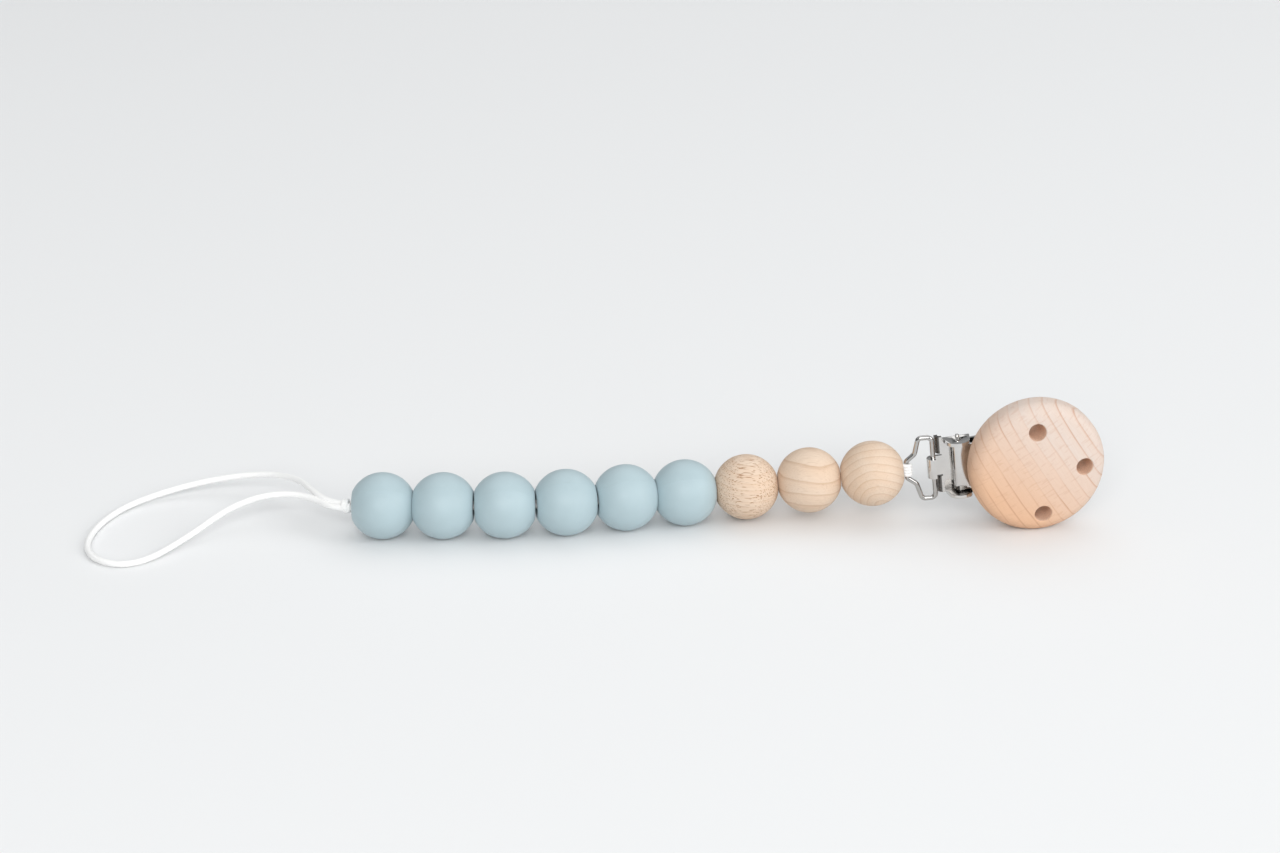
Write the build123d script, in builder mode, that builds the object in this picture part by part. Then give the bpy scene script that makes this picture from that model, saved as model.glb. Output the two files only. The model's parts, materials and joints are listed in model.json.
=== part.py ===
from build123d import *
import os
from math import asin, cos, radians, sin, sqrt, tan

# A beaded pacifier clip, lying on a table: a cord loop that holds a pacifier's ring, six silicone
# beads and three beech beads on the doubled cord, a wire bail, and a steel clip whose lever carries
# a round beech disc. The disc stands on its rim, so the clip's end of the string is lifted a little.
# Millimetres. +X runs along the strap to the clip, +Y away from the disc's front, +Z is up, and the
# table is z = 0.

# ---- beads -----------------------------------------------------------------------------------------
SILICONE_COUNT = 6
SILICONE_D = 14.7
SILICONE_L = 13.1  # between the two flats of a bead
WOOD_COUNT = 3
WOOD_D = 14.5
WOOD_L = 13.85
FLAT_EDGE_R = 0.12  # the moulded or sanded edge of each flat
BEAD_GAP = 0.06  # between the nearest points of two neighbouring flats
BEAD_YAW = [1, -1, 3.5, 9, 13, 10, 5.5, 1, -2]  # each bead's heading from +X towards +Y, degrees
BEAD_PITCH = [0, 0, 0, 0, 0, 0, 4.5, 6, 7.5]  # and above the table

# ---- cord ------------------------------------------------------------------------------------------
CORD_D = 1.4
STRAND_GAP = 0.04  # between the two strands inside the beads
BORE_CLEARANCE = 0.35  # between a strand and the wall of a bead's bore
KNOT_D = 4.0
KNOT_L = 2.6
KNOT_GAP = 0.1  # between the knot and the first bead
KNOT_ROUND = 0.95
KNOT_GRIP = 0.9  # how far each cord end runs into the knot
WRAP_CLEARANCE = 0.06  # between the bail's wire and the cord that goes round it
WRAP_BEND = 0.9  # the turn round the wire, as a share of the wrap's own radius
SPREAD_DEPTH = 3.0  # where the strands start to part inside the last bead
FLARE_L = 2.4  # the depth of the last bead's flared mouth
FLARE_CLEARANCE = 0.5  # round the parted strands at the last bead's mouth

# ---- wire bail -------------------------------------------------------------------------------------
BAIL_WIRE_D = 1.1
BAIL_L = 6.0  # from the narrow bar to the long bar, between centre lines
BAIL_W = 14.6  # the long bar, between the centre lines of the corners
BAIL_NECK_W = 4.0  # the narrow bar
BAIL_SHOULDER = (2.0, 3.6)  # from the narrow bar, and from the middle
BAIL_CORNER_L = 3.0  # the flat top of each corner
BAIL_RADII = (1.1, 1.0, 1.5, 0.9)  # long-bar corner, outer corner, shoulder, neck
BAIL_BUTT = 0.2  # the gap where the wire's two ends meet, under the tongue
BAR_GAP = 0.15  # between the narrow bar and the last bead
BAIL_YAW = -2.0

# ---- clip ------------------------------------------------------------------------------------------
SHEET = 0.8  # steel sheet of the base and the lever
BAIL_FIT = 0.1  # radial play of the tongue round the bail
CLIP_YAW = 7.0
BASE_W = 13.3
BASE_START = 0.9  # from the bail's axis to the plate's rear edge
BASE_END = 31.0
BASE_FRONT_W = 11.0
BASE_CORNER_R = 3.0
LIP_R = 0.4  # inside the bend of the two lips at the plate's rear edge
LIP_DROP = 0.5  # the straight part of each lip
LIP_GAP = 0.4  # between each lip and the tongue
TONGUE_W = 4.6
EAR_START = 2.4
EAR_END = 8.4
EAR_TOP_R = 2.7
EAR_TOP_LIFT = 0.65  # from the pivot up to the middle of the ear's round top
EAR_BEND_R = 0.5  # inside the bend from plate to ear
PIVOT_U = 5.5  # from the bail's axis to the pivot
KNUCKLE_GAP = 0.35  # between the lever's knuckle and the base plate
PIN_D = 1.0
PIN_FIT = 0.05  # radial play of the lever on its pin
PIN_SEAT = 0.02  # radial play of the pin in the ears
PIN_STUB = 0.9  # how far each end stands out of its ear
PIN_END_R = 0.25
EAR_SLOT_L = 2.1  # the pin's hole narrows to a point on the side of the disc
EAR_SLOT_R = 0.15
EAR_DIMPLE_R = 1.25
EAR_DIMPLE_DEPTH = 0.4
LEVER_SIDE_GAP = 0.45  # between the lever and each ear
LEVER_END = 30.0
LEVER_END_R = 4.0
PAD_START = 15.0
PAD_END = 29.6
PAD_W = 9.2
PAD_CORNER_R = 1.5
PAD_GAP = 0.35  # between the insert and the closed lever
PAD_TEETH = 6
TOOTH_DEPTH = 0.5
PEG_D = 1.6
PEG_FIT = 0.05
PEG_SPACING = 8.0

# ---- disc ------------------------------------------------------------------------------------------
DISC_D = 30.0
DISC_T = 8.8  # at the crown
DISC_SAG = 1.5  # how much lower the face is where it meets the rim
DISC_BACK_R = 2.5
DISC_RIM_R = 3.2
DISC_OVER_EARS = 0.35  # how far the disc's outline reaches back over the ears' front corners
VENT_D = 3.8
VENT_RING_R = 9.8
VENT_SHIFT = (0.0, -0.6)  # the ring of holes is drilled a little off the disc's middle
VENT_ANGLES = (91.5, 0, -90)
SCREW_D = 1.4
SCREW_FIT = 0.02
SCREW_DEPTH = 4.0
SCREW_HEAD_D = 2.6
SCREW_HEAD_H = 0.6
SCREW_U = 11.0
SCREW_SPACING = 5.8

# The first bead's mouth, where the cord loop leaves. Its X and Y centre the object, without its
# loop, on the origin.
MOUTH_X = -81.06
MOUTH_Y = -4.87

# ---- the string of beads, walked from the first bead's mouth ---------------------------------------


def heading(yaw, pitch):
    """The unit vector at a yaw from +X towards +Y and a pitch above the table, in degrees."""
    level = cos(radians(pitch))
    return Vector(level * cos(radians(yaw)), level * sin(radians(yaw)), sin(radians(pitch)))


def viewer_side(yaw):
    """Level, square to a heading, on the side of the disc's front."""
    return Vector(sin(radians(yaw)), -cos(radians(yaw)), 0)


def flat_radius(diameter, length):
    """The radius of the flats that cut a ball to a length."""
    return sqrt((diameter / 2) ** 2 - (length / 2) ** 2)


strand_offset = (CORD_D + STRAND_GAP) / 2
bore_r = strand_offset + CORD_D / 2 + BORE_CLEARANCE

bead_d = [SILICONE_D] * SILICONE_COUNT + [WOOD_D] * WOOD_COUNT
bead_l = [SILICONE_L] * SILICONE_COUNT + [WOOD_L] * WOOD_COUNT
bead_names = [f"silicone_bead_{n + 1}" for n in range(SILICONE_COUNT)]
bead_names += [f"wood_bead_{n + 1}" for n in range(WOOD_COUNT)]
bead_axes = [heading(yaw, pitch) for yaw, pitch in zip(BEAD_YAW, BEAD_PITCH)]

mouth = Vector(MOUTH_X, MOUTH_Y, SILICONE_D / 2)
bead_planes = []  # each bead's middle, with its axis as Z
joins = []  # the point midway between each pair of neighbouring flats
along = mouth
for n, axis in enumerate(bead_axes):
    middle = along + axis * (bead_l[n] / 2)
    bead_planes.append(Plane(origin=middle, x_dir=viewer_side(BEAD_YAW[n]), z_dir=axis))
    bead_end = middle + axis * (bead_l[n] / 2)
    if n + 1 < len(bead_axes):
        half_turn = radians(axis.get_angle(bead_axes[n + 1]) / 2)
        smaller_flat = min(flat_radius(bead_d[k], bead_l[k]) for k in (n, n + 1))
        wedge = 2 * smaller_flat * sin(half_turn)
        step = (axis + bead_axes[n + 1]).normalized() * (wedge + BEAD_GAP)
        joins.append(bead_end + step / 2)
        along = bead_end + step

# ---- the bail's and the clip's places --------------------------------------------------------------
# Both bars of the bail, the pivot pin and the disc's face share one leaning upright direction. The
# lean is what puts the disc's rim on the table. Local axes: X along the clip, Y up along the bars,
# Z out of the disc's front.

knuckle_r = PIN_D / 2 + PIN_FIT
pivot_lift = KNUCKLE_GAP + SHEET + knuckle_r  # from the base plate's front to the pivot
lever_front = pivot_lift - BAIL_WIRE_D / 2 - BAIL_FIT + knuckle_r + SHEET
disc_reach = EAR_END - DISC_OVER_EARS + sqrt((DISC_D / 2) ** 2 - (BASE_W / 2) ** 2)
last_axis = bead_axes[-1]
narrow_bar = bead_end + last_axis * (BAIL_WIRE_D / 2 + BAR_GAP)
reach = BAIL_L * cos(radians(BAIL_YAW)) + disc_reach * cos(radians(CLIP_YAW))
reach += (lever_front + DISC_BACK_R) * sin(radians(CLIP_YAW))  # the rim's lowest part is at its back
lean = asin((DISC_D / 2 - narrow_bar.Z) / reach)
upright = Plane(origin=narrow_bar, x_dir=(cos(lean), 0, sin(lean)), z_dir=(0, -1, 0))


def swung(origin, yaw):
    """A plane that shares the upright direction, swung round it by a yaw towards +Y, in degrees."""
    c, s = cos(radians(yaw)), sin(radians(yaw))
    x_dir = upright.x_dir * c - upright.z_dir * s
    return Plane(origin=origin, x_dir=x_dir, z_dir=upright.z_dir * c + upright.x_dir * s)


bail = swung(narrow_bar, BAIL_YAW)
clip = swung(bail.from_local_coords(Vector(BAIL_L, 0, 0)), CLIP_YAW)
side = Plane(origin=clip.origin, x_dir=clip.x_dir, z_dir=-clip.y_dir)  # X along, Y out of the front

# ---- beads -----------------------------------------------------------------------------------------


def round_flats(bead, diameter, length):
    """Takes the sharp edge off the two flats."""
    ring = flat_radius(diameter, length)
    edges = bead.edges().filter_by(GeomType.CIRCLE)
    fillet([e for e in edges if abs(e.radius - ring) < 0.01], radius=FLAT_EDGE_R)


beads = []
for n, place in enumerate(bead_planes):
    with BuildPart(place) as bead:
        Sphere(bead_d[n] / 2)
        Cylinder(bead_d[n] / 2 + 1, bead_l[n], mode=Mode.INTERSECT)
        round_flats(bead, bead_d[n], bead_l[n])
        Cylinder(bore_r, bead_l[n] + 1, mode=Mode.SUBTRACT)
        if n == len(bead_planes) - 1:
            # The last bead's mouth is flared, because the strands part there to go round the wire.
            wrap_reach = BAIL_WIRE_D / 2 + WRAP_CLEARANCE + CORD_D
            with Locations((0, 0, (bead_l[n] - FLARE_L) / 2)):
                Cone(bore_r, wrap_reach + FLARE_CLEARANCE, FLARE_L, mode=Mode.SUBTRACT)
    bead.part.label = bead_names[n]
    beads.append(bead.part)

# ---- the cord inside the beads ---------------------------------------------------------------------


def corner_radii(points):
    """The largest radius that each corner's two runs allow."""
    radii = []
    for before, here, after in zip(points, points[1:], points[2:]):
        turn = (here - before).get_angle(after - here)
        shorter = min((here - before).length, (after - here).length)
        radii.append(0.45 * shorter / tan(radians(turn / 2)))
    return radii


def strand(sign):
    """One strand's points, from the knot to where it parts from the other in the last bead."""
    first = mouth - bead_axes[0] * (KNOT_GAP + KNOT_GRIP)
    points = [first + viewer_side(BEAD_YAW[0]) * sign * strand_offset]
    for n, join in enumerate(joins):
        across = (viewer_side(BEAD_YAW[n]) + viewer_side(BEAD_YAW[n + 1])).normalized()
        points.append(join + across * sign * strand_offset)
    parting = bead_end - last_axis * SPREAD_DEPTH
    points.append(parting + viewer_side(BEAD_YAW[-1]) * sign * strand_offset)
    return points


wrap_r = BAIL_WIRE_D / 2 + WRAP_CLEARANCE + CORD_D / 2
wrap_slope = (wrap_r - strand_offset) / (SPREAD_DEPTH + BAR_GAP + BAIL_WIRE_D / 2)
wrap_corner = wrap_r * (1 + wrap_slope)
turn_round = [upright.from_local_coords(Vector(wrap_r, 0, z)) for z in (wrap_corner, -wrap_corner)]
strap_route = strand(1) + turn_round + strand(-1)[::-1]
strap_radii = corner_radii(strap_route)
middle_turns = (len(strap_radii) // 2 - 1, len(strap_radii) // 2)
for n in middle_turns:
    strap_radii[n] = wrap_r * WRAP_BEND
with BuildPart() as strap_cord:
    with BuildLine() as strap_path:
        FilletPolyline(*strap_route, radius=strap_radii)
    with BuildSketch(Plane(origin=strap_route[0], z_dir=strap_route[1] - strap_route[0])):
        Circle(CORD_D / 2)
    sweep(path=strap_path.wires()[0])
strap_cord.part.label = "strap_cord"

knot_middle = mouth - bead_axes[0] * (KNOT_GAP + KNOT_L / 2)
with BuildPart(Plane(origin=knot_middle, z_dir=bead_axes[0])) as loop_knot:
    Cylinder(KNOT_D / 2, KNOT_L)
    fillet(loop_knot.edges().filter_by(GeomType.CIRCLE), radius=KNOT_ROUND)
loop_knot.part.label = "loop_knot"

# ---- the free loop of cord -------------------------------------------------------------------------
# Each point is measured from the first bead's mouth: along X, along Y, and its height on the table.
# The loop leaves the knot on the far side, falls to the table, turns back and rises on the near side.
LOOP_ROUTE = [
    (-1.75, 0.62, 7.4),
    (-5.6, 1.3, 7.8),
    (-9.0, 5.6, 7.9),
    (-13.6, 14.8, 7.1),
    (-20.4, 20.4, 5.9),
    (-28.5, 22.7, 4.4),
    (-37.3, 22.7, 2.8),
    (-45.6, 19.4, 1.6),
    (-52.6, 13.9, 0.9),
    (-56.6, 5.6, 0.76),
    (-57.9, -2.6, 0.72),
    (-57.0, -8.8, 0.72),
    (-53.8, -13.6, 0.72),
    (-48.4, -16.0, 0.72),
    (-43.2, -13.8, 0.75),
    (-38.6, -7.8, 1.2),
    (-33.8, -2.4, 2.6),
    (-28.6, 3.0, 4.8),
    (-21.8, 7.0, 6.4),
    (-14.4, 7.0, 7.2),
    (-8.2, 3.5, 7.3),
    (-4.9, -0.2, 7.2),
    (-1.75, -0.86, 7.2),
]
loop_points = [Vector(mouth.X + x, mouth.Y + y, z) for x, y, z in LOOP_ROUTE]
loop_radii = corner_radii(loop_points)
with BuildPart() as cord_loop:
    with BuildLine() as loop_path:
        FilletPolyline(*loop_points, radius=loop_radii)
    with BuildSketch(Plane(origin=loop_points[0], z_dir=loop_points[1] - loop_points[0])):
        Circle(CORD_D / 2)
    sweep(path=loop_path.wires()[0])
cord_loop.part.label = "cord_loop"

# ---- wire bail -------------------------------------------------------------------------------------
shoulder_l, shoulder_w = BAIL_SHOULDER
half_bail = [
    (BAIL_L, BAIL_W / 2),
    (BAIL_L - BAIL_CORNER_L, BAIL_W / 2),
    (shoulder_l, shoulder_w),
    (0, BAIL_NECK_W / 2),
]
bail_outline = [(BAIL_L, BAIL_BUTT / 2)] + half_bail
bail_outline += [(x, -y) for x, y in reversed(half_bail)] + [(BAIL_L, -BAIL_BUTT / 2)]
with BuildPart() as wire_bail:
    with BuildLine(bail) as bail_path:
        FilletPolyline(*bail_outline, radius=BAIL_RADII + BAIL_RADII[::-1])
    butt = bail.from_local_coords(Vector(BAIL_L, BAIL_BUTT / 2, 0))
    with BuildSketch(Plane(origin=butt, z_dir=bail.y_dir)):
        Circle(BAIL_WIRE_D / 2)
    sweep(path=bail_path.wires()[0])
wire_bail.part.label = "wire_bail"

# ---- clip base -------------------------------------------------------------------------------------
# Heights below are measured out of the front from the bail's axis. The tongue's roll is tangent to
# the plate, so the plate's front lies one wire radius and the fit below that axis.
roll_r = BAIL_WIRE_D / 2 + BAIL_FIT
plate_front = -roll_r
plate_back = plate_front - SHEET
pivot_z = plate_front + pivot_lift
pivot_middle = side.from_local_coords(Vector(PIVOT_U, pivot_z, 0))
lip_end = BASE_START + LIP_R + SHEET
ear_middle = (EAR_START + EAR_END) / 2
ear_top_z = pivot_z + EAR_TOP_LIFT
pad_middle = (PAD_START + PAD_END) / 2
peg_places = [(pad_middle - PEG_SPACING / 2, 0), (pad_middle + PEG_SPACING / 2, 0)]

with BuildPart() as clip_base:
    # The channel of plate and ears, cut to the ears' rounded outline.
    ear_foot = clip.from_local_coords(Vector(EAR_START, 0, 0))
    ears_from = Plane(origin=ear_foot, x_dir=clip.y_dir, z_dir=clip.x_dir)
    channel_h = ear_top_z + EAR_TOP_R - plate_back
    with BuildSketch(ears_from) as channel:
        with Locations((0, plate_back + channel_h / 2)):
            Rectangle(BASE_W, channel_h)
        with Locations((0, plate_front + channel_h / 2)):
            Rectangle(BASE_W - 2 * SHEET, channel_h, mode=Mode.SUBTRACT)
        bends = channel.vertices().group_by(Axis.Y)
        fillet(bends[0], radius=EAR_BEND_R + SHEET)
        fillet(bends[1], radius=EAR_BEND_R)
    extrude(amount=EAR_END - EAR_START)
    with BuildSketch(side) as ear_outline:
        with Locations((ear_middle, ear_top_z)):
            Circle(EAR_TOP_R)
        with Locations((ear_middle, plate_back + SHEET)):
            Rectangle(EAR_END - EAR_START, 2 * SHEET)
        make_hull()
    extrude(amount=BASE_W, both=True, mode=Mode.INTERSECT)
    # The flat plate, wide under the ears and narrower under the disc.
    with BuildSketch(clip.offset(plate_back)):
        with Locations(((lip_end + ear_middle) / 2, 0)):
            Rectangle(ear_middle - lip_end, BASE_W - 2 * EAR_BEND_R - 2 * SHEET)
        with Locations(((lip_end + EAR_START) / 2, 0)):
            Rectangle(EAR_START - lip_end, BASE_W)
        with Locations(((ear_middle + BASE_END) / 2, 0)):
            RectangleRounded(BASE_END - ear_middle, BASE_FRONT_W, BASE_CORNER_R)
    extrude(amount=SHEET)
    # The lips, bent back from the plate's rear edge on each side of the tongue.
    with BuildSketch(side):
        with Locations((lip_end, plate_back - LIP_R)):
            Circle(LIP_R + SHEET)
            Circle(LIP_R, mode=Mode.SUBTRACT)
        with Locations((lip_end + LIP_R + SHEET, plate_back - LIP_R)):
            Rectangle(2 * LIP_R + 2 * SHEET, 2 * LIP_R + 2 * SHEET, mode=Mode.SUBTRACT)
        with Locations((lip_end, plate_back - 2 * LIP_R - SHEET)):
            Rectangle(2 * LIP_R + 2 * SHEET, 2 * LIP_R + 2 * SHEET, mode=Mode.SUBTRACT)
        with Locations((BASE_START + SHEET / 2, plate_back - LIP_R - LIP_DROP / 2)):
            Rectangle(SHEET, LIP_DROP)
    extrude(amount=BASE_W / 2, both=True)
    lip_h = SHEET + LIP_R + LIP_DROP
    with BuildSketch(clip.offset(plate_front - 2 * lip_h)):
        with Locations((lip_end / 2, 0)):
            Rectangle(lip_end, TONGUE_W + 2 * LIP_GAP)
    extrude(amount=3 * lip_h, mode=Mode.SUBTRACT)
    # The tongue and its roll round the bail's long bar.
    with BuildSketch(side):
        Circle(roll_r + SHEET)
        Circle(roll_r, mode=Mode.SUBTRACT)
        with Locations((roll_r + SHEET, SHEET)):
            Rectangle(2 * roll_r + SHEET, 2 * roll_r + 2 * SHEET, mode=Mode.SUBTRACT)
        with Locations((lip_end / 2, plate_front - SHEET / 2)):
            Rectangle(lip_end, SHEET)
    extrude(amount=TONGUE_W / 2, both=True)
    # The pin's holes and the holes for the insert's pegs.
    with BuildSketch(side):
        with Locations((PIVOT_U, pivot_z)):
            Circle(PIN_D / 2 + PIN_SEAT)
        with Locations((PIVOT_U + EAR_SLOT_L, pivot_z)):
            Circle(EAR_SLOT_R)
        make_hull()
    extrude(amount=BASE_W, both=True, mode=Mode.SUBTRACT)
    for end in (1, -1):
        ear_face = pivot_middle + clip.y_dir * end * BASE_W / 2
        with Locations(Plane(origin=ear_face, x_dir=clip.x_dir, z_dir=clip.y_dir * end)):
            to_face = (Align.CENTER, Align.CENTER, Align.MAX)
            Cone(PIN_D / 2, EAR_DIMPLE_R, EAR_DIMPLE_DEPTH, align=to_face, mode=Mode.SUBTRACT)
    with BuildSketch(clip.offset(plate_back - 1)):
        with Locations(*peg_places):
            Circle(PEG_D / 2 + PEG_FIT)
    extrude(amount=SHEET + 2, mode=Mode.SUBTRACT)
clip_base.part.label = "clip_base"

# ---- pivot pin -------------------------------------------------------------------------------------
pivot = Plane(origin=pivot_middle, x_dir=clip.x_dir, z_dir=clip.y_dir)
with BuildPart(pivot) as pivot_pin:
    Cylinder(PIN_D / 2, BASE_W + 2 * PIN_STUB)
    fillet(pivot_pin.edges().filter_by(GeomType.CIRCLE), radius=PIN_END_R)
pivot_pin.part.label = "pivot_pin"

# ---- lever -----------------------------------------------------------------------------------------
lever_w = BASE_W - 2 * SHEET - 2 * LEVER_SIDE_GAP
lever_back = pivot_z + knuckle_r
screw_places = [(SCREW_U, -SCREW_SPACING / 2), (SCREW_U, SCREW_SPACING / 2)]
with BuildPart() as clip_lever:
    with BuildSketch(side):
        with Locations((PIVOT_U, pivot_z)):
            Circle(knuckle_r + SHEET)
            Circle(knuckle_r, mode=Mode.SUBTRACT)
        with Locations((PIVOT_U + knuckle_r + SHEET, pivot_z - SHEET)):
            Rectangle(SHEET + knuckle_r, 2 * knuckle_r + 2 * SHEET, mode=Mode.SUBTRACT)
        with Locations(((PIVOT_U + LEVER_END) / 2, lever_back + SHEET / 2)):
            Rectangle(LEVER_END - PIVOT_U, SHEET)
    extrude(amount=lever_w / 2, both=True)
    tip = clip_lever.edges().filter_by(lambda e: abs(e.length - SHEET) < 0.001)
    tip = tip.sort_by(Axis(clip.origin, clip.x_dir))[-2:]
    fillet(tip, radius=LEVER_END_R)
    with BuildSketch(clip.offset(lever_back - 1)):
        with Locations(*screw_places):
            Circle(SCREW_D / 2 + SCREW_FIT)
    extrude(amount=SHEET + 2, mode=Mode.SUBTRACT)
clip_lever.part.label = "clip_lever"

# ---- jaw insert ------------------------------------------------------------------------------------
pad_t = lever_back - PAD_GAP - plate_front
pad_l = PAD_END - PAD_START
tooth_pitch = pad_l / (PAD_TEETH + 1)
with BuildPart() as jaw_pad:
    with BuildSketch(clip.offset(plate_front)):
        with Locations((pad_middle, 0)):
            RectangleRounded(pad_l, PAD_W, PAD_CORNER_R)
    extrude(amount=pad_t)
    with BuildSketch(side):
        for n in range(PAD_TEETH):
            groove_u = PAD_START + (n + 1) * tooth_pitch
            with Locations((groove_u, plate_front + pad_t)):
                Rectangle(2 * TOOTH_DEPTH, 2 * TOOTH_DEPTH, rotation=45)
    extrude(amount=PAD_W, both=True, mode=Mode.SUBTRACT)
    with BuildSketch(clip.offset(plate_back)):
        with Locations(*peg_places):
            Circle(PEG_D / 2)
    extrude(amount=SHEET)
jaw_pad.part.label = "jaw_pad"

# ---- disc ------------------------------------------------------------------------------------------
disc_seat = clip.from_local_coords(Vector(disc_reach, 0, lever_front))
disc_back = Plane(origin=disc_seat, x_dir=clip.x_dir, z_dir=clip.z_dir)
disc_profile_plane = Plane(origin=disc_back.origin, x_dir=clip.x_dir, z_dir=-clip.y_dir)
disc_r = DISC_D / 2
crown_r = (disc_r**2 + DISC_SAG**2) / (2 * DISC_SAG)
half_way = DISC_T - crown_r + sqrt(crown_r**2 - (disc_r / 2) ** 2)
screw_on_disc = [(u - disc_reach, v) for u, v in screw_places]
vent_places = [
    (
        VENT_SHIFT[0] + VENT_RING_R * cos(radians(angle)),
        VENT_SHIFT[1] + VENT_RING_R * sin(radians(angle)),
    )
    for angle in VENT_ANGLES
]
with BuildPart() as wood_disc:
    with BuildSketch(disc_profile_plane) as disc_profile:
        with BuildLine():
            Polyline((0, DISC_T), (0, 0), (disc_r, 0), (disc_r, DISC_T - DISC_SAG))
            ThreePointArc((disc_r, DISC_T - DISC_SAG), (disc_r / 2, half_way), (0, DISC_T))
        make_face()
        rim = disc_profile.vertices().sort_by(Axis.X)[-2:].sort_by(Axis.Y)
        fillet(rim[0], radius=DISC_BACK_R)
        rim = disc_profile.vertices().sort_by(Axis.X)[2:].sort_by(Axis.Y)
        fillet(rim[-1], radius=DISC_RIM_R)
    revolve(axis=Axis(disc_back.origin, disc_back.z_dir))
    with BuildSketch(disc_back.offset(-1)):
        with Locations(*vent_places):
            Circle(VENT_D / 2)
    extrude(amount=DISC_T + 2, mode=Mode.SUBTRACT)
    with BuildSketch(disc_back):
        with Locations(*screw_on_disc):
            Circle(SCREW_D / 2 + SCREW_FIT)
    extrude(amount=SCREW_DEPTH + SCREW_FIT, mode=Mode.SUBTRACT)
wood_disc.part.label = "wood_disc"

# ---- screws ----------------------------------------------------------------------------------------
with BuildPart() as disc_screws:
    with BuildSketch(clip.offset(lever_back - SCREW_HEAD_H)):
        with Locations(*screw_places):
            Circle(SCREW_HEAD_D / 2)
    extrude(amount=SCREW_HEAD_H)
    with BuildSketch(clip.offset(lever_back)):
        with Locations(*screw_places):
            Circle(SCREW_D / 2)
    extrude(amount=SHEET + SCREW_DEPTH)
disc_screws.part.label = "disc_screws"

# ---- export ----------------------------------------------------------------------------------------
pieces = beads + [
    strap_cord.part,
    loop_knot.part,
    cord_loop.part,
    wire_bail.part,
    clip_base.part,
    pivot_pin.part,
    clip_lever.part,
    jaw_pad.part,
    wood_disc.part,
    disc_screws.part,
]
os.makedirs("parts", exist_ok=True)
for piece in pieces:
    export_step(piece, f"parts/{piece.label}.step")

for name, path, radii in (("strap_cord", strap_path, strap_radii), ("cord_loop", loop_path, loop_radii)):
    print(name, "length", round(path.wires()[0].length, 1), "radii", [round(r, 1) for r in radii])
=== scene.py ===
import json
from math import atan2, cos, degrees, hypot, pi, radians, sin, sqrt

import bpy
import numpy as np
from mathutils import Matrix, Vector

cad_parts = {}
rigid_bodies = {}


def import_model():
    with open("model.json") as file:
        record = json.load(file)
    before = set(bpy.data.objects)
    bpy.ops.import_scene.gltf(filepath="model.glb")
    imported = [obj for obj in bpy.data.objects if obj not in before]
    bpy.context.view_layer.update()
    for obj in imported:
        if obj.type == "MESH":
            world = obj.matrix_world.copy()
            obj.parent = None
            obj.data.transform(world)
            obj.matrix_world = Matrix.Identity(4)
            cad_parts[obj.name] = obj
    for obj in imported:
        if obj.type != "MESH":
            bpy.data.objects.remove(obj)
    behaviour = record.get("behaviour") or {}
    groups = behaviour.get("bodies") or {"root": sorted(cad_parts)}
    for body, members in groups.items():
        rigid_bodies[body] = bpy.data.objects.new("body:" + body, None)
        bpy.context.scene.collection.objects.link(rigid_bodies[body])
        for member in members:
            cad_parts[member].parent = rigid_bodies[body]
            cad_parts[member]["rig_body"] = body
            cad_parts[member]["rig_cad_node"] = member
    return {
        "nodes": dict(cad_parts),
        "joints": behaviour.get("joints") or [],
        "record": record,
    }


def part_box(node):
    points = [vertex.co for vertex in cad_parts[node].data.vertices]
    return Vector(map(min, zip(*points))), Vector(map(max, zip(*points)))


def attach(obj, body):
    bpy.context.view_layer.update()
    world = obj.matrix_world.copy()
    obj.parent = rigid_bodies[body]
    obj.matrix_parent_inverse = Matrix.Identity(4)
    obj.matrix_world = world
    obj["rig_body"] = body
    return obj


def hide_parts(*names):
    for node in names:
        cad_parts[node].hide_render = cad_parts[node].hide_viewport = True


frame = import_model()

# A beaded pacifier clip lying on a pale table: a free loop of white braided cord, six matte silicone
# beads and three beech beads on the doubled cord, a wire bail, and a nickel steel clip whose lever
# carries a round beech disc. Metres throughout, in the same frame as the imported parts.

bl_info = {
    "name": "Beaded pacifier clip",
    "version": (1, 0, 0),
    "blender": (4, 5, 0),
    "location": "View3D > Sidebar > Pacifier Clip",
    "description": "Models the beads, cords, bail, clip and disc of a beaded pacifier clip",
    "category": "Object",
}

MM = 0.001
TINY = 1e-6
JOINTS = {joint["name"]: joint for joint in frame["joints"]}
VENTS = {m["name"]: m for m in frame["record"]["mounts"] if m["name"].startswith("vent_hole")}
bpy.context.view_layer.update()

BEADS = [f"silicone_bead_{n + 1}" for n in range(6)] + [f"wood_bead_{n + 1}" for n in range(3)]


def centre_of(node):
    """The middle of a part's box."""
    low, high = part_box(node)
    return (low + high) / 2


def joint_axis(name):
    return Vector(JOINTS[name]["axis"]).normalized()


def joint_place(name):
    return Vector(JOINTS[name]["pos_m"])


def standing(origin, x_axis, z_axis):
    """The matrix that puts a piece modelled at the origin into place."""
    turn = Matrix((x_axis, z_axis.cross(x_axis), z_axis)).transposed()
    return Matrix.Translation(origin) @ turn.to_4x4()


# The clip's own directions: UP runs along both bars of the bail, OUT leaves the disc's front.
UP = joint_axis("bail_swing")
OUT = Vector(VENTS["vent_hole_1"]["axis"]).normalized()
ALONG = UP.cross(OUT).normalized()
CLIP = standing(joint_place("clip_swing"), ALONG, OUT)
SILICONE_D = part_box(BEADS[0])[1].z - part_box(BEADS[0])[0].z
WOOD_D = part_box(BEADS[6])[1].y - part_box(BEADS[6])[0].y


# ---- sizes and colours that a user would change ----------------------------------------------------


def length_size(words, default, what):
    """A length property in metres."""
    return bpy.props.FloatProperty(name=words, description=what, default=default, min=0, unit="LENGTH")


def tone(words, default, what):
    """A colour property."""
    return bpy.props.FloatVectorProperty(
        name=words, description=what, default=default, size=3, min=0, max=1, subtype="COLOR"
    )


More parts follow.
